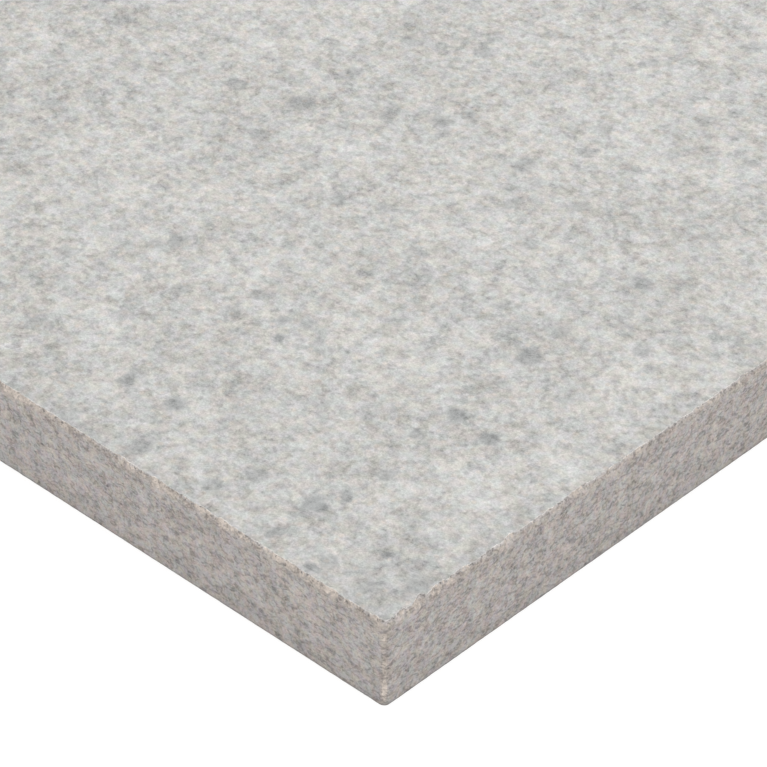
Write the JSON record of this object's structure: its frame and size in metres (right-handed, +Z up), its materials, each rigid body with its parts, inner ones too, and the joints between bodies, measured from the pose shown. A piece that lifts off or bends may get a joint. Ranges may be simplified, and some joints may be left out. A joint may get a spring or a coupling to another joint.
{
  "type": "granite slab",
  "caption": "Square stone slab for tooling and stamping leather: a speckled body, a thin pale honed face with a ground bevel, and thin non-slip pads underneath.",
  "frame": {"origin": "on the bench under the slab's centre, level with the undersides of the pads", "axes": "+Z up through the working face, +X along the width to the right, -Y towards the front"},
  "size_m": [0.305, 0.305, 0.0223],
  "materials": {
    "speckled_body": "matte",
    "pale_face": "matte",
    "black_rubber": "matte"
  },
  "bodies": {
    "root": {"body": "speckled_body", "face_layer": "pale_face", "pad_front_left": "black_rubber", "pad_front_right": "black_rubber", "pad_back_left": "black_rubber", "pad_back_right": "black_rubber"}
  },
  "joints": []
}
